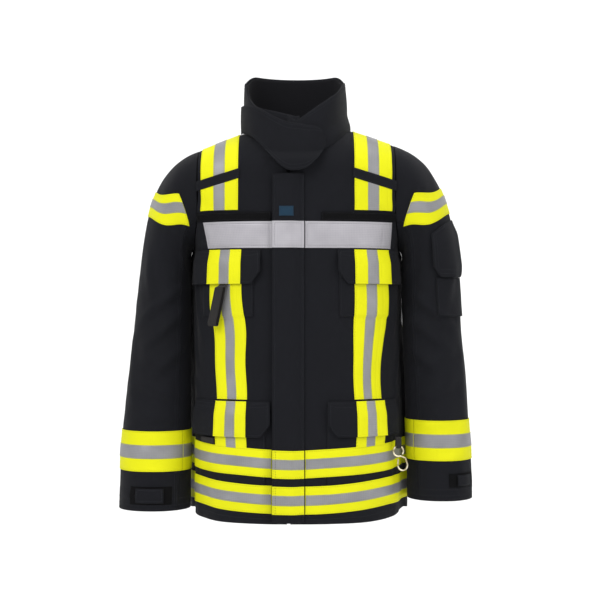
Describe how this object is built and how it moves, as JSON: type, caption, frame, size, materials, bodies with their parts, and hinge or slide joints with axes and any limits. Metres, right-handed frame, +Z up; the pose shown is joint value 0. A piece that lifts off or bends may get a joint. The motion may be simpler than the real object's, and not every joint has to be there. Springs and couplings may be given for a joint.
{
  "type": "turnout coat",
  "caption": "Firefighter's coat with a stand collar, throat flap, storm flap over a zip, flapped pockets, lime and silver trim, a webbing loop and a snap hook.",
  "frame": {"origin": "top of the hanger loop inside the back of the neck", "axes": "+Z up, the coat's front faces -Y, the wearer's left is +X"},
  "size_m": [0.6736, 0.3001, 0.8443],
  "materials": {
    "shell": "near-black navy aramid weave",
    "liner": "quilted thermal liner",
    "reflective_trim": "fluorescent lime tape with a silver retroreflective stripe",
    "loop_fastener": "black fuzzy loop tape",
    "webbing": "dark grey woven webbing",
    "zip_tape": "black tape with moulded teeth",
    "zip_metal": "dark nickel",
    "hook_metal": "worn nickel-plated brass",
    "label": "dark teal woven label, blank"
  },
  "bodies": {
    "root": {"back_panel": "shell", "chest_band_back": "reflective_trim", "chest_band_left": "reflective_trim", "chest_band_right": "reflective_trim", "chest_pocket_left": "shell", "chest_pocket_right": "shell", "collar_lining": "liner", "collar_outer": "shell", "cuff_band_left": "reflective_trim", "cuff_band_right": "reflective_trim", "front_panel_left": "shell", "front_panel_right": "shell", "hanger_loop": "webbing", "hem_trim_lower": "reflective_trim", "hem_trim_upper": "reflective_trim", "liner_back": "liner", "liner_front_left": "liner", "liner_front_right": "liner", "liner_sleeve_left": "liner", "liner_sleeve_right": "liner", "loop_strip_left": "loop_fastener", "loop_strip_right": "loop_fastener", "lower_pocket_left": "shell", "lower_pocket_right": "shell", "shoulder_trim_left": "reflective_trim", "shoulder_trim_right": "reflective_trim", "sleeve_outer_left": "shell", "sleeve_outer_right": "shell", "sleeve_pocket": "shell", "sleeve_under_left": "shell", "sleeve_under_right": "shell", "upper_sleeve_band_left": "reflective_trim", "upper_sleeve_band_right": "reflective_trim", "vertical_trim_left": "reflective_trim", "vertical_trim_right": "reflective_trim", "zip_tape_left": "zip_tape", "zip_tape_right": "zip_tape"},
    "storm_flap": {"storm_flap": "shell", "storm_flap_trim_chest": "reflective_trim", "storm_flap_trim_upper": "reflective_trim", "storm_flap_trim_lower": "reflective_trim", "label_patch": "label"},
    "throat_flap": {"throat_flap": "shell"},
    "chest_flap_right": {"chest_flap_right": "shell", "chest_flap_trim_right": "reflective_trim"},
    "chest_flap_left": {"chest_flap_left": "shell", "chest_flap_trim_left": "reflective_trim"},
    "lower_flap_right": {"lower_flap_right": "shell", "lower_flap_trim_right": "reflective_trim"},
    "lower_flap_left": {"lower_flap_left": "shell", "lower_flap_trim_left": "reflective_trim"},
    "zip_slider": {"zip_slider": "zip_metal", "zip_pull": "zip_metal"},
    "sleeve_pocket_flap": {"sleeve_pocket_flap": "shell"},
    "cuff_tab_right": {"cuff_tab_right": "shell"},
    "cuff_tab_left": {"cuff_tab_left": "shell"},
    "webbing_loop": {"webbing_loop": "webbing"},
    "hook_tab": {"hook_tab": "webbing"},
    "snap_hook": {"snap_hook": "hook_metal"},
    "snap_hook_gate": {"snap_hook_gate": "hook_metal"}
  },
  "joints": [
    {"name": "storm_flap_hinge", "type": "hinge", "parent": "root", "child": "storm_flap", "pos_m": [0.01463, -0.23924, -0.74178], "axis": [-0.0001, 0.0216, 0.9998], "range_deg": [0, 70]},
    {"name": "throat_flap_hinge", "type": "hinge", "parent": "root", "child": "throat_flap", "pos_m": [-0.10262, -0.13922, -0.019], "axis": [0, 0, -1], "range_deg": [0, 60]},
    {"name": "chest_flap_right_hinge", "type": "hinge", "parent": "root", "child": "chest_flap_right", "pos_m": [-0.14644, -0.19885, -0.24886], "axis": [-0.824, 0.5666, -0.0012], "range_deg": [0, 50]},
    {"name": "chest_flap_left_hinge", "type": "hinge", "parent": "root", "child": "chest_flap_left", "pos_m": [0.15047, -0.19623, -0.24886], "axis": [-0.8062, -0.5917, 0.0012], "range_deg": [0, 50]},
    {"name": "lower_flap_right_hinge", "type": "hinge", "parent": "root", "child": "lower_flap_right", "pos_m": [-0.13888, -0.20812, -0.52185], "axis": [-0.8485, 0.5292, -0.0011], "range_deg": [0, 50]},
    {"name": "lower_flap_left_hinge", "type": "hinge", "parent": "root", "child": "lower_flap_left", "pos_m": [0.14136, -0.20669, -0.52185], "axis": [-0.8471, -0.5314, 0.0011], "range_deg": [0, 50]},
    {"name": "zip_slide", "type": "slide", "parent": "root", "child": "zip_slider", "axis": [0, -0.0217, -0.9998], "range_m": [0, 0.56]},
    {"name": "sleeve_pocket_flap_hinge", "type": "hinge", "parent": "root", "child": "sleeve_pocket_flap", "pos_m": [0.28204, -0.14501, -0.19263], "axis": [-0.5539, -0.7491, -0.3634], "range_deg": [0, 45]},
    {"name": "cuff_tab_right_hinge", "type": "hinge", "parent": "root", "child": "cuff_tab_right", "pos_m": [-0.29932, -0.16101, -0.69842], "axis": [-0.0267, -0.0088, -0.9996], "range_deg": [0, 35]},
    {"name": "cuff_tab_left_hinge", "type": "hinge", "parent": "root", "child": "cuff_tab_left", "pos_m": [0.32705, -0.13257, -0.68148], "axis": [-0.028, 0.016, 0.9995], "range_deg": [0, 35]},
    {"name": "webbing_loop_swing", "type": "hinge", "parent": "root", "child": "webbing_loop", "pos_m": [-0.14415, -0.20907, -0.30975], "axis": [-0.8696, 0.4937, 0], "range_deg": [0, 40]},
    {"name": "hook_tab_swing", "type": "hinge", "parent": "root", "child": "hook_tab", "pos_m": [0.18879, -0.17875, -0.5898], "axis": [-0.9843, -0.1763, 0], "range_deg": [0, 35]},
    {"name": "snap_hook_swing", "type": "hinge", "parent": "hook_tab", "child": "snap_hook", "pos_m": [0.18879, -0.17875, -0.6073], "axis": [-0.9843, -0.1763, 0], "range_deg": [-8, 25]},
    {"name": "hook_gate_spring", "type": "hinge", "parent": "snap_hook", "child": "snap_hook_gate", "pos_m": [0.18835, -0.17883, -0.63159], "axis": [0.1763, -0.9843, 0], "range_deg": [0, 26], "stiffness_Nm_per_rad": 0.01}
  ]
}
